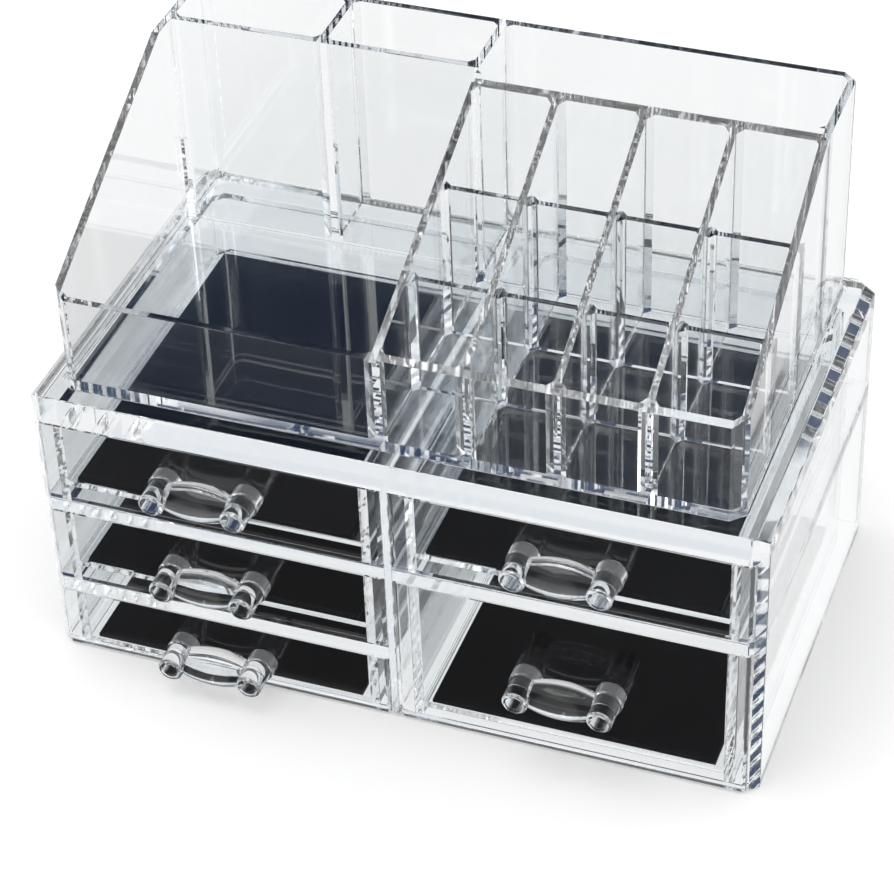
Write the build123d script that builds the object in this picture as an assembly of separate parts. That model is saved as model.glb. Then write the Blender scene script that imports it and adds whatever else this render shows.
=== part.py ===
from build123d import *
import os

os.makedirs("parts", exist_ok=True)

# ---------------------------------------------------------------- sizes, mm
# Frame: origin at the centre of the case's underside, X right, Y back, Z up.
case_width = 240.0
case_depth = 140.0
case_height = 104.0
case_wall = 3.0
case_floor = 1.6
case_corner = 4.5          # upright corner chamfer of the case
rim_bevel = 3.5            # outer bevel of the side and rear rims
recess_depth = 1.5         # shallow seat for the tray in the top plate
top_plate_bottom = 93.4
floor_setback = 3.6        # the floor stops behind the drawer fronts
recess_gap = 1.2           # clearance round the tray in its seat

divider_thick = 2.5
shelf_thick = 5.0
lower_shelf_z = 24.3       # underside of the lower left shelf
upper_shelf_z = 58.0       # underside of the shelf below the top row

front_thick = 3.0          # drawer front panel
front_side_gap = 0.6
front_low_gap = 0.4
front_top_gap = 0.4
front_edge = 1.0           # small chamfer of the front's upright edges
front_lift = 0.5           # bottom row fronts stand this far off the ground
tub_width = 106.0
tub_wall = 3.0
tub_rear_gap = 6.0         # between the tub and the case's rear wall
tub_corner = 5.0           # rear upright corners of the tub
tub_floor = 2.0
tub_rise = 4.8             # floor height above the runners' lower edge
tub_top_drop = 1.0         # side walls end below the front's top edge
thin_floor = 1.6           # floor of the lowest left drawer
slide_gap = 0.3            # running clearance under the runners

pad_width = 94.0
pad_thick = 2.0
pad_front_gap = 0.6
pad_rear_gap = 5.0
pad_corner = 3.0

handle_reach = 14.0
post_spacing = 27.4
collar_radius = 4.9
collar_length = 5.0
post_radius = 4.2
post_edge = 0.8
post_dish_radius = 2.9
post_dish_depth = 0.6
barrel_mid_radius = 6.1
barrel_end_radius = 4.5
barrel_offset = 7.4        # barrel axis in front of the drawer front
barrel_end_inset = 3.3     # barrel ends sit inside the posts

tray_width = 221.0
tray_front_y = -62.0
tray_rear_y = 64.5
tray_height = 79.5
tray_wall = 2.5
tray_floor = 3.0
tray_corner = 4.5
tray_rail_z = 34.5         # front rail's top above the tray's underside
slope_end_y = 25.0         # side walls reach full height here
cell_corner = 2.0          # flare in the inner corners of the cells
main_wall_x = -4.5
main_wall_drop = 5.5       # step down where the main divider starts to slope
rear_cell_y = 35.5         # centre of the left rear cells' front wall
rear_split_x = -56.5
long_wall_y = 30.0         # centre of the long compartment's front wall
long_wall_drop = 2.0
slot_wall = 2.2
slot_columns = 4
slot_rows = 3
cross_low_drop = 5.0       # cross walls end below the sloped dividers

# ------------------------------------------------------------- derived sizes
half_w = case_width / 2
half_d = case_depth / 2
inner_x = half_w - case_wall
inner_rear = half_d - case_wall
front_y = -half_d
tray_z0 = case_height - recess_depth
tray_x = tray_width / 2
tray_top = tray_z0 + tray_height
rail_top = tray_z0 + tray_rail_z

lower_shelf_top = lower_shelf_z + shelf_thick
upper_shelf_top = upper_shelf_z + shelf_thick
left_x = (-inner_x, -divider_thick / 2)
right_x = (divider_thick / 2, inner_x)

# name, opening in X, drawer's lower and upper limit, running surface,
# floor height, floor thickness, handle height
top_low = upper_shelf_top
drawers = [
    ("left_top", left_x, top_low, top_plate_bottom, top_low, tub_rise, tub_floor, 80.6),
    ("left_middle", left_x, lower_shelf_top, upper_shelf_z, lower_shelf_top,
     tub_rise, tub_floor, 44.8),
    ("left_bottom", left_x, front_lift - front_low_gap, lower_shelf_z, case_floor,
     0.0, thin_floor, 11.4),
    ("right_top", right_x, top_low, top_plate_bottom, top_low, tub_rise, tub_floor, 80.6),
    ("right_deep", right_x, front_lift - front_low_gap, upper_shelf_z, case_floor,
     tub_rise - 1.1, tub_floor, 30.5),
]


def slab(x0, x1, y0, y1, z0, z1):
    """Plain block between two corners."""
    block = Box(x1 - x0, y1 - y0, z1 - z0)
    return Pos((x0 + x1) / 2, (y0 + y1) / 2, (z0 + z1) / 2) * block


def cut_corner_outline(x0, x1, y0, y1, corners):
    """Rectangle with its four corners cut at 45 degrees: (front-left,
    front-right, rear-right, rear-left)."""
    fl, fr, rr, rl = corners
    points = []
    points += [(x0, y0 + fl), (x0 + fl, y0)] if fl > 0 else [(x0, y0)]
    points += [(x1 - fr, y0), (x1, y0 + fr)] if fr > 0 else [(x1, y0)]
    points += [(x1, y1 - rr), (x1 - rr, y1)] if rr > 0 else [(x1, y1)]
    points += [(x0 + rl, y1), (x0, y1 - rl)] if rl > 0 else [(x0, y1)]
    return points


def prism(points, z0, z1):
    """Upright prism over an outline."""
    face = make_face(Polyline(*points, close=True))
    return Pos(0, 0, z0) * extrude(face, amount=z1 - z0, dir=(0, 0, 1))


def cut_corner_prism(x0, x1, y0, y1, z0, z1, corners):
    """Upright prism over a rectangle with cut corners."""
    return prism(cut_corner_outline(x0, x1, y0, y1, corners), z0, z1)


def save(solid, name):
    """Write one piece; every piece is a single solid."""
    solid.label = name
    export_step(solid, "parts/" + name + ".step")


# --------------------------------------------------------------------- case
def rim_edges(block):
    """Top outer edges of the block, leaving out the front ones."""
    edges = block.faces().sort_by(Axis.Z)[-1].edges()
    return [e for e in edges if e.center().Y > front_y + case_corner]


def case_shell():
    """Outer walls, floor, thick top plate and the tray's seat."""
    corners = (case_corner,) * 4
    block = cut_corner_prism(-half_w, half_w, front_y, half_d, 0, case_height, corners)
    block = chamfer(rim_edges(block), rim_bevel)
    block -= slab(-inner_x, inner_x, front_y - 1, inner_rear, case_floor, top_plate_bottom)
    block -= slab(-inner_x, inner_x, front_y - 1, front_y + floor_setback, -1, case_floor + 1)
    seat_corner = tray_corner + recess_gap / 2
    block -= cut_corner_prism(
        -tray_x - recess_gap, tray_x + recess_gap,
        tray_front_y - recess_gap, tray_rear_y + recess_gap,
        tray_z0, case_height + 1, (seat_corner,) * 4)
    return block


def centre_divider():
    """Upright panel between the two drawer columns."""
    x = divider_thick / 2
    return slab(-x, x, front_y, inner_rear, case_floor, top_plate_bottom)


def shelf(x_range, z0):
    """Shelf of one column; its outer front corner follows the case."""
    x0, x1 = x_range
    cut = case_corner - case_wall
    corners = (cut, 0, 0, 0) if x0 < 0 else (0, cut, 0, 0)
    return cut_corner_prism(x0, x1, front_y, inner_rear, z0, z0 + shelf_thick, corners)


# ------------------------------------------------------------------ drawers
def drawer_box(x_range, low, high, run_z, rise, floor_t):
    """Front panel with an open tub standing on two side runners."""
    x0, x1 = x_range
    mid = (x0 + x1) / 2
    z0 = low + front_low_gap
    z1 = high - front_top_gap
    edges = (front_edge, front_edge, 0, 0)
    front = cut_corner_prism(x0 + front_side_gap, x1 - front_side_gap,
                             front_y, front_y + front_thick, z0, z1, edges)
    tub_x = tub_width / 2
    back = inner_rear - tub_rear_gap
    base = run_z + slide_gap
    rear = (0, 0, tub_corner, tub_corner)
    outer = cut_corner_prism(mid - tub_x, mid + tub_x, front_y + front_thick, back,
                             base, z1 - tub_top_drop, rear)
    ix = tub_x - tub_wall
    inner_back = back - tub_wall
    inner_cut = tub_corner - tub_wall * 0.586
    rear_in = (0, 0, inner_cut, inner_cut)
    outer -= cut_corner_prism(mid - ix, mid + ix, front_y + front_thick, inner_back,
                              base + rise + floor_t, high + 1, rear_in)
    if rise > 0:
        outer -= cut_corner_prism(mid - ix, mid + ix, front_y + front_thick, inner_back,
                                  base - 1, base + rise, rear_in)
    return front + outer


def pad(x_range, run_z, rise, floor_t):
    """Loose black liner lying on a drawer's floor."""
    mid = (x_range[0] + x_range[1]) / 2
    z0 = run_z + slide_gap + rise + floor_t
    y0 = front_y + front_thick + pad_front_gap
    y1 = inner_rear - tub_rear_gap - tub_wall - pad_rear_gap
    return cut_corner_prism(mid - pad_width / 2, mid + pad_width / 2, y0, y1,
                            z0, z0 + pad_thick, (0, 0, pad_corner, pad_corner))


def post(x, z):
    """Round post along Y: wide collar at the drawer, dished front end."""
    turn = Rotation(90, 0, 0)
    collar = Cylinder(collar_radius, collar_length)
    collar = chamfer(collar.edges().sort_by(Axis.Z)[-1], 0.5)
    collar = Pos(x, front_y - collar_length / 2, z) * turn * collar
    shaft = Cylinder(post_radius, handle_reach)
    shaft = chamfer(shaft.edges().sort_by(Axis.Z)[-1], post_edge)
    shaft = Pos(x, front_y - handle_reach / 2, z) * turn * shaft
    dish = Pos(x, front_y - handle_reach, z) * turn * Cylinder(
        post_dish_radius, 2 * post_dish_depth)
    return collar + shaft - dish


def handle(x_mid, z):
    """Two posts joined by a barrel-shaped grip along X."""
    half = post_spacing / 2
    reach = half - barrel_end_inset
    profile = Polyline((-reach, barrel_end_radius), (-reach, 0), (reach, 0),
                       (reach, barrel_end_radius))
    crown = ThreePointArc((-reach, barrel_end_radius), (0, barrel_mid_radius),
                          (reach, barrel_end_radius))
    barrel = revolve(make_face([*profile.edges(), crown]), axis=Axis.X)
    barrel = Pos(x_mid, front_y - barrel_offset, z) * barrel
    return post(x_mid - half, z) + post(x_mid + half, z) + barrel


# --------------------------------------------------------------------- tray
def slope_z(y, low, high, end_y):
    """Height of a straight slope from the front rail to its rear end."""
    return low + (high - low) * (y - tray_front_y) / (end_y - tray_front_y)


def side_profile_cut(x0, x1, low, high, end_y):
    """Wedge removed above a sloped wall running along Y."""
    over = tray_top + 2
    start = tray_front_y - 1
    points = [(start, slope_z(start, low, high, end_y)), (end_y, high),
              (end_y, over), (start, over)]
    face = make_face(Polyline(*[(0, y, z) for y, z in points], close=True))
    return Pos(x0, 0, 0) * extrude(face, amount=x1 - x0, dir=(1, 0, 0))


def cell(x0, x1, y0, y1):
    """Empty space of one compartment with flared inner corners."""
    return cut_corner_prism(x0, x1, y0, y1, tray_z0 + tray_floor, tray_top + 1,
                            (cell_corner,) * 4)


def slot_lines():
    """Inner edges of the slot columns and rows."""
    x_start = main_wall_x + tray_wall / 2
    x_end = tray_x - tray_wall
    y_start = tray_front_y + tray_wall
    y_end = long_wall_y - tray_wall / 2
    cell_w = (x_end - x_start - (slot_columns - 1) * slot_wall) / slot_columns
    cell_d = (y_end - y_start - (slot_rows - 1) * slot_wall) / slot_rows
    xs = []
    for i in range(slot_columns):
        x0 = x_start + i * (cell_w + slot_wall)
        xs.append((x0, x0 + cell_w))
    ys = []
    for j in range(slot_rows):
        y0 = y_start + j * (cell_d + slot_wall)
        ys.append((y0, y0 + cell_d))
    return xs, ys


def tray_cells():
    """All sixteen empty spaces of the tray."""
    wall = tray_wall / 2
    left = -tray_x + tray_wall
    right = tray_x - tray_wall
    rear = tray_rear_y - tray_wall
    front = tray_front_y + tray_wall
    left_end = main_wall_x - wall
    spaces = [
        cell(left, left_end, front, rear_cell_y - wall),
        cell(left, rear_split_x - wall, rear_cell_y + wall, rear),
        cell(rear_split_x + wall, left_end, rear_cell_y + wall, rear),
        cell(main_wall_x + wall, right, long_wall_y + wall, rear),
    ]
    xs, ys = slot_lines()
    for x0, x1 in xs:
        for y0, y1 in ys:
            spaces.append(cell(x0, x1, y0, y1))
    return spaces


def tray():
    """Divided upper tray, one moulded piece."""
    body = cut_corner_prism(-tray_x, tray_x, tray_front_y, tray_rear_y,
                            tray_z0, tray_top, (tray_corner,) * 4)
    # side walls and open front: slope from the rail to full height
    body -= side_profile_cut(-tray_x - 1, -tray_x + tray_wall,
                             rail_top, tray_top, slope_end_y)
    body -= side_profile_cut(tray_x - tray_wall, tray_x + 1,
                             rail_top, tray_top, slope_end_y)
    # low front rail in front of the left compartment
    wall = tray_wall / 2
    body -= slab(-tray_x + tray_wall, main_wall_x - wall, tray_front_y - 1,
                 rear_cell_y - wall, rail_top, tray_top + 1)
    # main divider
    main_high = tray_top - main_wall_drop
    main_end = rear_cell_y - wall
    body -= side_profile_cut(main_wall_x - wall, main_wall_x + wall,
                             rail_top - 1.0, main_high, main_end)
    # slot field: dividers slope down from the long compartment's front wall
    xs, ys = slot_lines()
    high = tray_top - long_wall_drop
    end = long_wall_y + wall
    body -= side_profile_cut(main_wall_x + wall, tray_x - tray_wall,
                             rail_top, high, end)
    for low_y, high_y in [(ys[0][1], ys[1][0]), (ys[1][1], ys[2][0])]:
        top = slope_z(low_y, rail_top, high, end) - cross_low_drop
        for x0, x1 in xs:
            body -= slab(x0, x1, low_y - cell_corner, high_y + cell_corner,
                         top, tray_top + 1)
    for space in tray_cells():
        body -= space
    return body


# --------------------------------------------------------------------- parts
save(case_shell(), "case_shell")
save(centre_divider(), "centre_divider")
save(shelf(left_x, lower_shelf_z), "shelf_left_lower")
save(shelf(left_x, upper_shelf_z), "shelf_left_upper")
save(shelf(right_x, upper_shelf_z), "shelf_right")
save(tray(), "tray")
for name, x_range, low, high, run_z, rise, floor_t, handle_z in drawers:
    middle = (x_range[0] + x_range[1]) / 2
    save(drawer_box(x_range, low, high, run_z, rise, floor_t), "drawer_" + name)
    save(handle(middle, handle_z), "handle_" + name)
    save(pad(x_range, run_z, rise, floor_t), "pad_" + name)
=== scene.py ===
# %% [markdown]
# # Clear desk organizer with five drawers
# A clear plastic case holds two columns of drawers, and a divided tray sits on
# its top plate. Everything except the five black liners is transparent, so the
# whole look comes from edges: light bends where two faces meet. We start by
# loading the measured model, which fixes every size and place.

# %% Load the measured model
import math

import bmesh
import bpy
from mathutils import Matrix, Vector


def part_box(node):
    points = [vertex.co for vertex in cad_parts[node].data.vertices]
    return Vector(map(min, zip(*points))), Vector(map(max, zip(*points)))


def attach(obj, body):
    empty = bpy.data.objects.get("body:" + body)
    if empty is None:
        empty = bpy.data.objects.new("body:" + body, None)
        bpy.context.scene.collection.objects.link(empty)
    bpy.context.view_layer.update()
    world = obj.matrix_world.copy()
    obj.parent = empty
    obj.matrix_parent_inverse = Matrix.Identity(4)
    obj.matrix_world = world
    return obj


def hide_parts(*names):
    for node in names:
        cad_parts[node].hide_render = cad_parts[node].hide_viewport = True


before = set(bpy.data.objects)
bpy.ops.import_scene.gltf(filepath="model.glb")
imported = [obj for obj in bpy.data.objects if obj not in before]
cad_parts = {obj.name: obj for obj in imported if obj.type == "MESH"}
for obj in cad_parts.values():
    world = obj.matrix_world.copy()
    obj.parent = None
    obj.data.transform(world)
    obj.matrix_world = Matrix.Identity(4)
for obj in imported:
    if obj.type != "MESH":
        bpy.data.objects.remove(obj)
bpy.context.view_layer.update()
scene = bpy.context.scene

# %% [markdown]
# A product camera stands a little above and to the right of the object and
# uses a long lens, so upright edges stay nearly parallel. Its place and its
# three directions were worked out from the vanishing lines of the photograph.

# %% Camera
camera_data = bpy.data.cameras.new("product_camera")
camera_data.sensor_width = 36.0  # mm
camera_data.lens = 120.388  # mm, fitted to the photograph
camera_data.clip_start = 0.05
camera = bpy.data.objects.new("product_camera", camera_data)
scene.collection.objects.link(camera)
to_right = Vector((0.94104658, 0.33678211, -0.03176698))
to_up = Vector((-0.18670793, 0.59541268, 0.78142427))
to_back = Vector((0.28208418, -0.72942549, 0.62319096))
place = Vector((0.27205877, -0.71812607, 0.66999829))
turn = Matrix((to_right, to_up, to_back)).transposed().to_4x4()
camera.matrix_world = Matrix.Translation(place) @ turn
scene.camera = camera
print("camera distance, m:", round(place.length, 3))

# %% [markdown]
# Clear plastic needs more light bounces than most scenes: a ray that looks
# through the tray crosses two faces for every wall. With too few bounces those
# rays end black. Standard view transform keeps whites white.

# %% Render settings that the plastic needs
scene.view_settings.view_transform = "Standard"
plastic_bounces = 64
scene.cycles.max_bounces = plastic_bounces
scene.cycles.transmission_bounces = plastic_bounces
scene.cycles.glossy_bounces = plastic_bounces
scene.cycles.transparent_max_bounces = 24
print("bounces through plastic:", plastic_bounces)


# %% [markdown]
# Materials are written as short sums. `Value` wraps one output of the node
# tree and turns plus, minus and times into Math nodes, and `Recipe` owns the
# tree and adds any other node with one method.

# %% Shader helpers
class Value:
    """One socket of a node tree that can be used in a sum."""

    def __init__(self, recipe, socket):
        self.recipe = recipe
        self.socket = socket

    def _math(self, kind, a, b):
        return self.recipe.node("ShaderNodeMath", {"operation": kind}, {0: a, 1: b})

    def __add__(self, other):
        return self._math("ADD", self, other)

    __radd__ = __add__

    def __sub__(self, other):
        return self._math("SUBTRACT", self, other)

    def __rsub__(self, other):
        return self._math("SUBTRACT", other, self)

    def __mul__(self, other):
        return self._math("MULTIPLY", self, other)

    __rmul__ = __mul__


class Recipe:
    """A material's or the world's node tree, emptied and ready."""

    def __init__(self, owner):
        owner.use_nodes = True
        self.owner = owner
        self.tree = owner.node_tree
        self.tree.nodes.clear()

    def node(self, kind, settings=None, values=None, out=0):
        made = self.tree.nodes.new(kind)
        for name, value in (settings or {}).items():
            if name == "stops":
                ramp = made.color_ramp
                while len(ramp.elements) < len(value):
                    ramp.elements.new(0.5)
                for element, (where, colour) in zip(ramp.elements, value):
                    element.position = where
                    element.color = colour
            else:
                setattr(made, name, value)
        for name, value in (values or {}).items():
            socket = made.inputs[name]
            if isinstance(value, Value):
                self.tree.links.new(value.socket, socket)
            else:
                socket.default_value = value
        return Value(self, made.outputs[out]) if made.outputs else None

    def mix_colour(self, factor, a, b):
        return self.node("ShaderNodeMix", {"data_type": "RGBA"},
                         {0: factor, 6: a, 7: b}, out=2)

    def here(self):
        return self.node("ShaderNodeTexCoord", out="Object")

    def noise(self, scale, detail=3.0, rough=0.5, stretch=(1, 1, 1)):
        spot = self.node("ShaderNodeMapping", None, {"Vector": self.here(), "Scale": stretch})
        return self.node("ShaderNodeTexNoise", None,
                         {"Vector": spot, "Scale": scale, "Detail": detail,
                          "Roughness": rough})


# %% [markdown]
# Moulded clear plastic is never optically perfect. Its faces carry a faint
# waviness from the mould, which bends what is seen through them, and handling
# leaves slightly duller patches. One recipe makes all four clear finishes.

# %% Clear plastic
def clear_plastic(name, tint, pale, wave, dull):
    """Transparent moulded plastic: tint and pale are its two nearly white
    colours, wave is the height of the mould's waviness in metres, and dull
    the most roughness that scuffs add to a polished face."""
    polished = 0.002
    material = bpy.data.materials.new(name)
    r = Recipe(material)
    cloud = r.noise(9.0, 2.0)
    patches = r.noise(34.0, 4.0)
    scuffs = r.noise(420.0, 2.0, stretch=(1.0, 0.15, 1.0))
    colour = r.mix_colour(cloud, (*tint, 1), (*pale, 1))
    rough = dull * patches * scuffs + polished
    bump = r.node("ShaderNodeBump", None,
                  {"Strength": 1.0, "Distance": wave, "Height": r.noise(22.0, 1.0)})
    surface = r.node("ShaderNodeBsdfPrincipled", None,
                     {"Base Color": colour, "Roughness": rough, "Normal": bump,
                      "Transmission Weight": 1.0, "IOR": 1.49})
    r.node("ShaderNodeOutputMaterial", None, {"Surface": surface})
    return material


sheet_wave = 0.00006
handle_wave = 0.00002
sheet_dull = 0.05
handle_dull = 0.03
case_clear = clear_plastic("case_clear_plastic", (0.955, 0.972, 0.980),
                           (0.985, 0.992, 0.995), sheet_wave, sheet_dull)
tray_clear = clear_plastic("tray_clear_plastic", (0.962, 0.978, 0.985),
                           (0.990, 0.995, 0.997), sheet_wave, sheet_dull)
drawer_clear = clear_plastic("drawer_clear_plastic", (0.955, 0.972, 0.982),
                             (0.985, 0.992, 0.996), sheet_wave, sheet_dull)
handle_clear = clear_plastic("handle_clear_plastic", (0.965, 0.978, 0.984),
                             (0.992, 0.995, 0.997), handle_wave, handle_dull)
print("clear finishes:", 4)


# %% [markdown]
# The liners are thin black sheets with a short, dense surface. Fine noise
# stands for the fibres: it roughens the sheet and gives it a slight bump. The
# low specular level keeps it deep, and a touch of sheen pales it where the
# light grazes it.

# %% Black liner
def liner_finish():
    """Near-black matt sheet with fine fibres."""
    material = bpy.data.materials.new("black_liner")
    r = Recipe(material)
    fibres = r.noise(2600.0, 3.0, 0.7)
    drift = r.noise(28.0, 3.0)
    colour = r.mix_colour(drift, (0.0022, 0.0026, 0.0040, 1), (0.0050, 0.0058, 0.0085, 1))
    rough = 0.42 + 0.22 * fibres
    bump = r.node("ShaderNodeBump", None,
                  {"Strength": 0.6, "Distance": 0.00008, "Height": fibres})
    surface = r.node("ShaderNodeBsdfPrincipled", None,
                     {"Base Color": colour, "Roughness": rough, "Normal": bump,
                      "Specular IOR Level": 0.12,
                      "Sheen Weight": 0.04, "Sheen Roughness": 0.4})
    r.node("ShaderNodeOutputMaterial", None, {"Surface": surface})
    return material


liner_black = liner_finish()
print("liner finish:", liner_black.name)


# %% [markdown]
# The rigid pieces keep the measured shape. A copy of each measured mesh is
# merged, its flat areas are joined, and its sharp edges get a very small
# rounding: a perfectly sharp edge catches no light, and the bright thin
# lines along the edges are what makes clear plastic readable. The rounding
# could be a live modifier, but applied it is part of the mesh that is kept.
# Edges that are bonded to a wall stay sharp.

# %% Copies with rounded edges
merge_distance = 2e-6
flat_angle = math.radians(0.4)
case_rounding = 0.0004
panel_rounding = 0.0003
handle_rounding = 0.00025


def only(obj):
    """Make obj the one selected, active object."""
    bpy.ops.object.select_all(action="DESELECT")
    obj.select_set(True)
    bpy.context.view_layer.objects.active = obj


def copy_of(node, name):
    """A merged copy of a measured mesh, with its flat areas joined and
    their hollow corners cut up, so that the rounding stays clean."""
    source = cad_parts[node]
    piece = bpy.data.objects.new(name, source.data.copy())
    scene.collection.objects.link(piece)
    piece.data.name = name
    only(piece)
    bpy.ops.mesh.customdata_custom_splitnormals_clear()
    bpy.ops.object.mode_set(mode="EDIT")
    bpy.ops.mesh.select_all(action="SELECT")
    bpy.ops.mesh.remove_doubles(threshold=merge_distance)
    bpy.ops.mesh.dissolve_limited(angle_limit=flat_angle)
    bpy.ops.mesh.vert_connect_concave()
    bpy.ops.object.mode_set(mode="OBJECT")
    return piece


def shift_end(piece, axis, side, amount):
    """Move the points of one end of the piece along that axis."""
    values = [v.co[axis] for v in piece.data.vertices]
    end = max(values) if side > 0 else min(values)
    for v in piece.data.vertices:
        if abs(v.co[axis] - end) < 1e-5:
            v.co[axis] += amount


def round_edges(piece, width, keep_sharp=(), least=22.0, curved=False):
    """Round every edge that turns by more than least degrees, except those
    that lie in a plane named in keep_sharp as (axis, value). Flat faces keep
    flat shading: on clear plastic a smoothed normal would bend everything
    seen through them. Only curved pieces are smoothed."""
    in_plane = 2e-4
    mesh = piece.data
    weights = mesh.attributes.new("bevel_weight_edge", "FLOAT", "EDGE")
    form = bmesh.new()
    form.from_mesh(mesh)
    form.edges.ensure_lookup_table()
    chosen = []
    for edge in form.edges:
        angle = math.degrees(edge.calc_face_angle(0.0))
        if angle < least:
            continue
        held = any(all(abs(v.co[axis] - value) < in_plane for v in edge.verts)
                   for axis, value in keep_sharp)
        if not held:
            chosen.append(edge.index)
    form.free()
    for index in chosen:
        weights.data[index].value = 1.0
    only(piece)
    rounding = piece.modifiers.new("rounding", "BEVEL")
    rounding.width = width
    rounding.segments = 2
    rounding.limit_method = "WEIGHT"
    rounding.use_clamp_overlap = True
    rounding.miter_outer = "MITER_ARC"
    bpy.ops.object.modifier_apply(modifier="rounding")
    if curved:
        bpy.ops.object.shade_smooth_by_angle(angle=math.radians(30))
        weighted = piece.modifiers.new("flat_ends", "WEIGHTED_NORMAL")
        weighted.keep_sharp = True
        weighted.weight = 90
        bpy.ops.object.modifier_apply(modifier="flat_ends")
    return len(chosen)


def dress(piece, material, slot, body, *nodes):
    """Give the piece its finish, hang it on its body and hide the measured parts that it
    replaces.
    """
    piece.data.materials.clear()
    piece.data.materials.append(material)
    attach(piece, body)
    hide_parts(*nodes)


print("edge roundings, m:", case_rounding, panel_rounding, handle_rounding)


# %% [markdown]
# The case is one moulding with its floor and thick top plate. The divider and
# the shelves are joined to it, so their ends run a hair's breadth into the
# walls: that way light passes the joint as it does in a moulding.

# %% Case, divider and shelves
hair = 0.00005
case = copy_of("case_shell", "clear_case")
count = round_edges(case, case_rounding)
dress(case, case_clear, "clear_case", "case", "case_shell")
print("case edges rounded:", count)

divider = copy_of("centre_divider", "clear_centre_divider")
low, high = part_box("centre_divider")
for axis, side in ((1, 1), (2, 1), (2, -1)):
    shift_end(divider, axis, side, side * hair)
joints = ((1, high[1]), (2, low[2]), (2, high[2]))
round_edges(divider, panel_rounding, joints)
dress(divider, case_clear, "clear_case", "case", "centre_divider")

for node in ("shelf_left_lower", "shelf_left_upper", "shelf_right"):
    shelf = copy_of(node, "clear_" + node)
    low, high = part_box(node)
    for axis, side in ((0, 1), (0, -1), (1, 1)):
        shift_end(shelf, axis, side, side * hair)
    joints = ((0, low[0]), (0, high[0]), (1, high[1]))
    round_edges(shelf, case_rounding, joints)
    dress(shelf, case_clear, "clear_case", "case", node)
print("divider and shelves joined into the walls by, m:", hair)

# %% [markdown]
# The tray is one moulding: a front compartment, two tall cells, twelve sloped
# slots and a long rear cell. It only stands in its seat, with air under it, so
# its underside is lifted by the same hair's breadth.

# %% Tray
tray = copy_of("tray", "clear_tray")
shift_end(tray, 2, -1, hair)
count = round_edges(tray, case_rounding)
dress(tray, tray_clear, "clear_tray", "upper_tray", "tray")
print("tray edges rounded:", count)


# %% [markdown]
# A liner is a thin stiff sheet that lies flat, so nothing has to be simulated:
# a cube is sized to the measured pad, its two rear corners are cut round, and
# its upper rim is softened.

# %% Liners
liner_corner = 0.003
liner_rim = 0.0007


def make_liner(node, name):
    """Thin black sheet with a soft upper rim and two round rear corners."""
    low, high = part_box(node)
    size = high - low
    middle = (low + high) / 2
    bpy.ops.object.select_all(action="DESELECT")
    bpy.ops.mesh.primitive_cube_add(size=1)
    piece = bpy.context.object
    piece.name = piece.data.name = name
    for v in piece.data.vertices:
        v.co = Vector((v.co.x * size.x, v.co.y * size.y, v.co.z * (size.z - hair)))
        v.co += middle + Vector((0, 0, hair / 2))
    bpy.ops.object.mode_set(mode="EDIT")
    form = bmesh.from_edit_mesh(piece.data)
    for edge in form.edges:
        a, b = edge.verts
        upright = abs(a.co.x - b.co.x) < 1e-6 and abs(a.co.y - b.co.y) < 1e-6
        edge.select_set(upright and a.co.y > middle.y)
    form.select_flush_mode()
    bmesh.update_edit_mesh(piece.data)
    bpy.ops.mesh.bevel(offset=liner_corner, segments=4, affect="EDGES")
    bpy.ops.mesh.select_all(action="DESELECT")
    form = bmesh.from_edit_mesh(piece.data)
    for edge in form.edges:
        on_top = all(abs(v.co.z - high.z) < 1e-6 for v in edge.verts)
        edge.select_set(on_top)
    form.select_flush_mode()
    bmesh.update_edit_mesh(piece.data)
    bpy.ops.mesh.bevel(offset=liner_rim, segments=3, affect="EDGES")
    bpy.ops.object.mode_set(mode="OBJECT")
    only(piece)
    bpy.ops.object.shade_smooth_by_angle(angle=math.radians(40))
    return piece


# %% [markdown]
# Each drawer is a front panel with an open box behind it. The handle is a
# separate clear piece fixed to the front: its posts and grip are round, so it
# is the one clear piece with smooth shading. The liner lies on the box's
# floor. All three ride on the drawer's body, so they slide out together.

# %% Drawers and handles
for name in ("left_top", "left_middle", "left_bottom", "right_top", "right_deep"):
    body = name + "_drawer"
    drawer = copy_of("drawer_" + name, "clear_drawer_" + name)
    round_edges(drawer, panel_rounding)
    dress(drawer, drawer_clear, "clear_drawer", body, "drawer_" + name)
    handle = copy_of("handle_" + name, "clear_handle_" + name)
    shift_end(handle, 1, 1, -hair)
    round_edges(handle, handle_rounding, least=35.0, curved=True)
    dress(handle, handle_clear, "clear_handle", body, "handle_" + name)
    liner = make_liner("pad_" + name, "black_liner_" + name)
    dress(liner, liner_black, "black_pad", body, "pad_" + name)
    low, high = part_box("pad_" + name)
print("drawers dressed:", 5)
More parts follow.
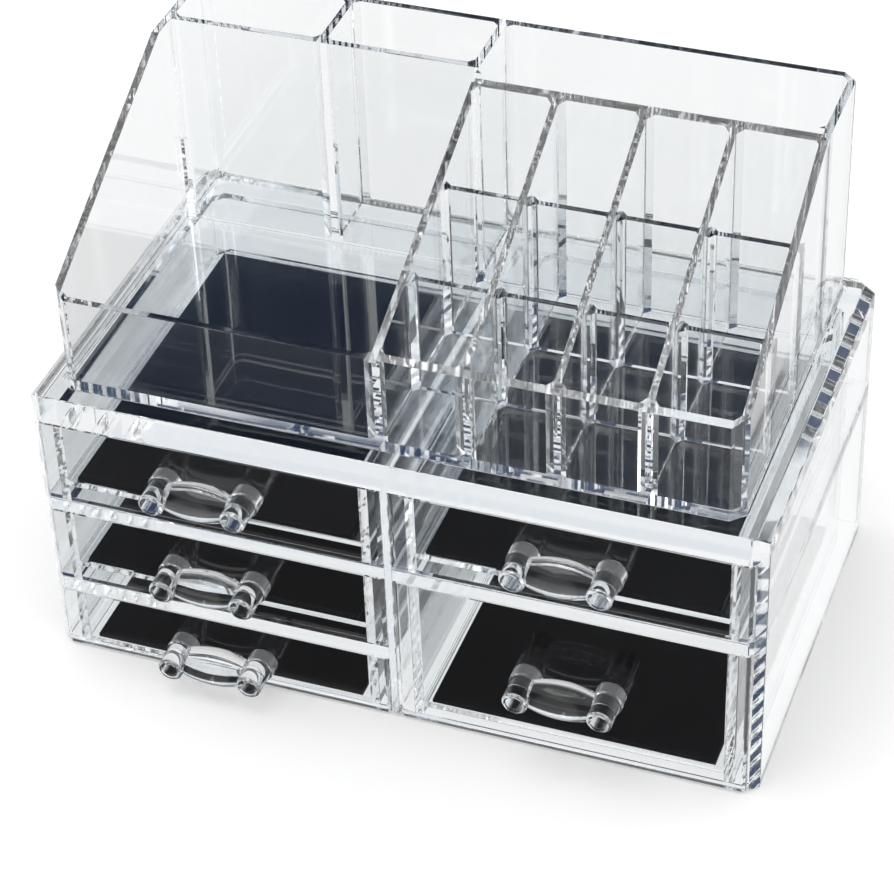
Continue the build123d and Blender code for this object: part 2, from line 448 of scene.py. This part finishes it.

# %% [markdown]
# The object stands on a white table. The camera sees a nearly white matt
# surface with a little glow added, so it reads as white while the object's
# shadow stays. Mirrored and bent rays see plain white instead, with one strip
# of painted shade in front of the drawers: the table is painted dark there for
# those rays alone, standing in for the shade in front of the object that the
# upright clear fronts mirror, so what lies behind them stays deep. A ray that
# has been mirrored sees the whole painted strip, a ray that only passed
# through sees about half of it, so the views from behind stay bright.

# %% Table
table_size = 12.0
table_gap = 0.0004
camera_glow = 0.28
bpy.ops.object.select_all(action="DESELECT")
bpy.ops.mesh.primitive_plane_add(size=table_size, location=(0, 0, -table_gap))
table = bpy.context.object
table.name = "white_table"
# The table's material holds its white finish and the painted shade strip.
table_finish_and_painted_shade = bpy.data.materials.new("white_table_finish_and_painted_shade")
r = Recipe(table_finish_and_painted_shade)
path = r.node("ShaderNodeLightPath")
outputs = path.socket.node.outputs
through = Value(r, outputs["Is Glossy Ray"]) + Value(r, outputs["Is Transmission Ray"])
grain = r.mix_colour(r.noise(6.0), (0.85, 0.85, 0.855, 1), (0.87, 0.87, 0.872, 1))
shade = r.node("ShaderNodeBsdfDiffuse", None, {"Color": grain})
lift = Value(r, outputs["Is Camera Ray"]) * camera_glow
glow = r.node("ShaderNodeEmission", None, {"Color": (1, 1, 1, 1), "Strength": lift})
both = r.node("ShaderNodeAddShader", None, {0: shade, 1: glow})
across = r.node("ShaderNodeSeparateXYZ", None, {0: r.here()}, out="X")
deep = r.node("ShaderNodeSeparateXYZ", None, {0: r.here()}, out="Y")
# Painted shade: the dark strip fades in from Y -0.33 m and ends at -0.07 m, under the drawer
# fronts, and only mirrored and bent rays see it.
painted_shade_front = 0.33
painted_shade_stretch = 3.7
painted_shade_strip = r.node("ShaderNodeValToRGB", {"stops": [
    (0.00, (1.0, 1.0, 1.0, 1)), (0.25, (0.35, 0.35, 0.35, 1)),
    (0.42, (0.12, 0.12, 0.125, 1)), (0.85, (0.10, 0.10, 0.105, 1)),
    (0.94, (0.10, 0.10, 0.105, 1)), (0.98, (1.0, 1.0, 1.0, 1))]},
    {0: (deep + painted_shade_front) * painted_shade_stretch})
mirrored = r.node("ShaderNodeClamp", None, {0: Value(r, outputs["Glossy Depth"])})
painted_shade_left = 0.26
painted_shade_right = 0.20
painted_shade_fade = 12.0
# Where the painted shade lies across the table, and how much of it a ray sees.
painted_shade_mask = (r.node("ShaderNodeClamp", None, {0: (across + painted_shade_left) * painted_shade_fade})
          * r.node("ShaderNodeClamp", None, {0: (painted_shade_right - across) * painted_shade_fade})
          * (0.45 + 0.55 * mirrored))
# The table's colour for mirrored and bent rays: white, with the painted shade strip.
painted_reflection_colour = r.mix_colour(painted_shade_mask, (1, 1, 1, 1), painted_shade_strip)
white_and_painted_shade_light = r.node("ShaderNodeEmission", None, {"Color": painted_reflection_colour, "Strength": 1.0})
surface = r.node("ShaderNodeMixShader", None, {0: through, 1: both, 2: white_and_painted_shade_light})
r.node("ShaderNodeOutputMaterial", None, {"Surface": surface})
table.data.materials.append(table_finish_and_painted_shade)
print("table:", table.name, "size, m:", table_size)

# %% [markdown]
# Flat clear faces that look up mirror the space behind the object. A studio
# hangs a dark card there, out of the picture, so that the black liners stay
# deep and blue when they are seen through the tray. Only mirrored and bent
# rays meet the card; it gives no shadow and no camera sees it.

# %% Dark card
card_middle = -0.10
card_width = 0.70
card_low = 0.306
card_tall = 0.36
card_back = 0.30
bpy.ops.object.select_all(action="DESELECT")
bpy.ops.mesh.primitive_plane_add(size=1, rotation=(math.radians(90), 0, 0))
card = bpy.context.object
card.name = "dark_card"
bpy.ops.object.transform_apply(location=False, rotation=True, scale=False)
for v in card.data.vertices:
    v.co = Vector((card_middle + v.co.x * card_width, card_back,
                   card_low + (v.co.z + 0.5) * card_tall))
card_finish = bpy.data.materials.new("dark_card_finish")
r = Recipe(card_finish)
cloth = r.mix_colour(r.noise(12.0), (0.023, 0.047, 0.102, 1), (0.035, 0.062, 0.128, 1))
glow = r.node("ShaderNodeEmission", None, {"Color": cloth, "Strength": 1.0})
r.node("ShaderNodeOutputMaterial", None, {"Surface": glow})
card.data.materials.append(card_finish)
card.visible_camera = False
card.visible_diffuse = False
card.visible_shadow = False
print("card spans, m:", card_width, "by", card_tall)

# %% [markdown]
# Clear plastic shows its surroundings, and an evenly white room would make it
# vanish. Mirrored and bent rays therefore see a pale room behind the object
# and a dark one in front of it, with a white ceiling, while every other ray
# gets one plain pale grey. Two soft lamps add highlights and a light shadow.

# %% Room and lamps
world = bpy.data.worlds.new("studio_room")
scene.world = world
r = Recipe(world)
path = r.node("ShaderNodeLightPath")
outputs = path.socket.node.outputs
mirror = (Value(r, outputs["Is Glossy Ray"]) + Value(r, outputs["Is Transmission Ray"]))
way = r.node("ShaderNodeTexCoord", out="Generated")
height = r.node("ShaderNodeSeparateXYZ", None, {0: way}, out="Z")
depth = r.node("ShaderNodeSeparateXYZ", None, {0: way}, out="Y")
behind = r.node("ShaderNodeValToRGB", {"stops": [
    (0.00, (0.92, 0.94, 0.96, 1)), (0.25, (0.84, 0.87, 0.91, 1)),
    (0.60, (0.90, 0.92, 0.95, 1)), (0.90, (1.00, 1.00, 1.00, 1))]}, {0: height})
before = r.node("ShaderNodeValToRGB", {"stops": [
    (0.00, (0.75, 0.78, 0.82, 1)), (0.18, (0.10, 0.11, 0.13, 1)),
    (0.58, (0.07, 0.08, 0.10, 1)), (0.70, (1.00, 1.00, 1.00, 1))]}, {0: height})
rear = r.node("ShaderNodeClamp", None, {0: 3.0 * depth + 0.5})
studio = r.mix_colour(rear, before, behind)
room = r.mix_colour(mirror, (0.80, 0.80, 0.80, 1), studio)
light = r.node("ShaderNodeBackground", None, {"Color": room, "Strength": 1.0})
r.node("ShaderNodeOutputWorld", None, {"Surface": light})


def lamp(name, place, aim, width, length, watts):
    """One rectangular soft lamp at place, turned towards aim."""
    data = bpy.data.lights.new(name, "AREA")
    data.shape = "RECTANGLE"
    data.size = width
    data.size_y = length
    data.energy = watts
    obj = bpy.data.objects.new(name, data)
    scene.collection.objects.link(obj)
    obj.location = place
    obj.rotation_euler = (Vector(aim) - Vector(place)).to_track_quat("-Z", "Y").to_euler()
    return obj


lamp("overhead_softbox", (-0.3, -0.2, 1.6), (0, 0, 0.05), 0.9, 0.9, 6)
lamp("right_softbox", (1.5, -0.5, 0.8), (0, 0, 0.08), 0.5, 1.0, 4)
